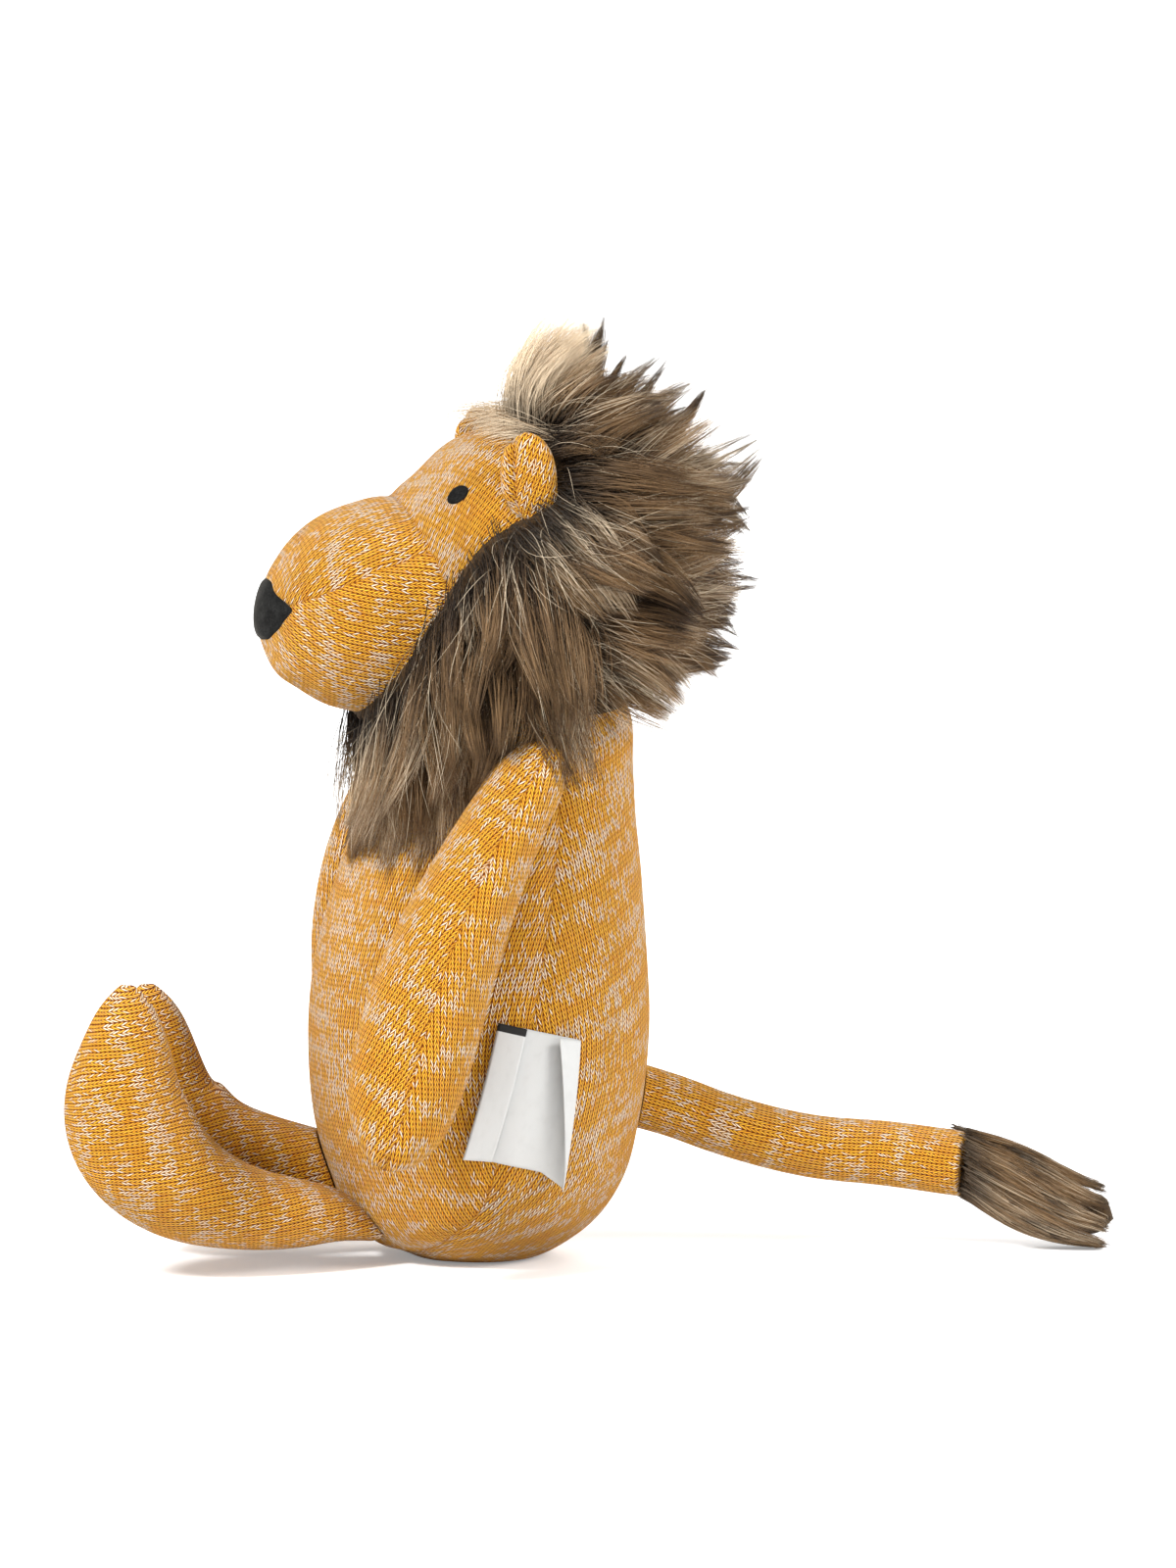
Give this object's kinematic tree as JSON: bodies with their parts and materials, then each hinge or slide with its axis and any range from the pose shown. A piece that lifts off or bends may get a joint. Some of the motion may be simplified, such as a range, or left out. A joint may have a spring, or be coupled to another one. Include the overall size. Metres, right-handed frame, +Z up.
{
  "type": "plush lion",
  "caption": "Sitting stuffed lion of melange knit with a long-pile fur mane, beard and tail tuft, felt nose and eyes, padded limbs and blank cloth side labels.",
  "frame": {"origin": "centre of the flat base under the torso", "axes": "+Z up, the lion faces -X with its legs stretched out that way and its tail towards +X; its left side, with the labels, is at -Y"},
  "size_m": [0.3308, 0.168, 0.281],
  "materials": {
    "knit": "melange orange and cream knitted yarn",
    "filling": "loose polyester fibre",
    "felt": "matt black felt",
    "fur": "long-pile fur, brown with dark tips",
    "label_cloth": "blank white woven tape"
  },
  "bodies": {
    "torso": {"torso_front_panel": "knit", "torso_back_panel": "knit", "torso_filling": "filling"},
    "head": {"head_panel": "knit", "muzzle_top_panel": "knit", "muzzle_lower_panel": "knit", "head_filling": "filling", "nose_patch": "felt", "eye_left": "felt", "eye_right": "felt", "mane": "fur", "beard": "fur"},
    "left_ear": {"ear_left": "knit"},
    "right_ear": {"ear_right": "knit"},
    "left_arm": {"arm_left_front_panel": "knit", "arm_left_back_panel": "knit", "arm_left_filling": "filling"},
    "right_arm": {"arm_right_front_panel": "knit", "arm_right_back_panel": "knit", "arm_right_filling": "filling"},
    "left_leg": {"leg_left_outer_panel": "knit", "leg_left_inner_panel": "knit", "leg_left_filling": "filling"},
    "right_leg": {"leg_right_outer_panel": "knit", "leg_right_inner_panel": "knit", "leg_right_filling": "filling"},
    "tail": {"tail_panel": "knit", "tail_filling": "filling", "tail_tuft": "fur"},
    "narrow_label": {"label_narrow": "label_cloth"},
    "wide_label": {"label_wide": "label_cloth"}
  },
  "joints": [
    {"name": "neck_turn", "type": "hinge", "parent": "torso", "child": "head", "pos_m": [0.01, 0, 0.187], "axis": [0, 0, 1], "range_deg": [-20, 20], "stiffness_Nm_per_rad": 0.6},
    {"name": "left_shoulder", "type": "hinge", "parent": "torso", "child": "left_arm", "pos_m": [0.0124, -0.045, 0.163], "axis": [0, 0.9703, -0.2419], "range_deg": [-20, 50], "stiffness_Nm_per_rad": 0.15},
    {"name": "right_shoulder", "type": "hinge", "parent": "torso", "child": "right_arm", "pos_m": [0.0124, 0.045, 0.163], "axis": [0, 0.9703, 0.2419], "range_deg": [-20, 50], "stiffness_Nm_per_rad": 0.15},
    {"name": "left_hip", "type": "hinge", "parent": "torso", "child": "left_leg", "pos_m": [-0.033, -0.024, 0.009], "axis": [0, 1, 0], "range_deg": [-45, 5], "stiffness_Nm_per_rad": 0.5},
    {"name": "right_hip", "type": "hinge", "parent": "torso", "child": "right_leg", "pos_m": [-0.017, 0.024, 0.009], "axis": [0, 1, 0], "range_deg": [-45, 5], "stiffness_Nm_per_rad": 0.5},
    {"name": "tail_swing", "type": "hinge", "parent": "torso", "child": "tail", "pos_m": [0.051, 0, 0.0473], "axis": [0, 0, 1], "range_deg": [-30, 30], "stiffness_Nm_per_rad": 0.3},
    {"name": "left_ear_fold", "type": "hinge", "parent": "head", "child": "left_ear", "pos_m": [0.00073, -0.03204, 0.24], "axis": [0.0984, 0.221, -0.9703], "range_deg": [0, 20], "stiffness_Nm_per_rad": 0.02},
    {"name": "right_ear_fold", "type": "hinge", "parent": "head", "child": "right_ear", "pos_m": [0.00073, 0.03204, 0.24], "axis": [-0.0984, 0.221, 0.9703], "range_deg": [0, 20], "stiffness_Nm_per_rad": 0.02},
    {"name": "narrow_label_lift", "type": "hinge", "parent": "torso", "child": "narrow_label", "pos_m": [0.002, -0.0565, 0.077], "axis": [0.2424, -0.0594, 0.9684], "range_deg": [0, 50], "stiffness_Nm_per_rad": 0.002},
    {"name": "wide_label_lift", "type": "hinge", "parent": "torso", "child": "wide_label", "pos_m": [0.002, -0.0565, 0.077], "axis": [-0.2424, 0.0594, -0.9684], "range_deg": [0, 60], "stiffness_Nm_per_rad": 0.002}
  ]
}
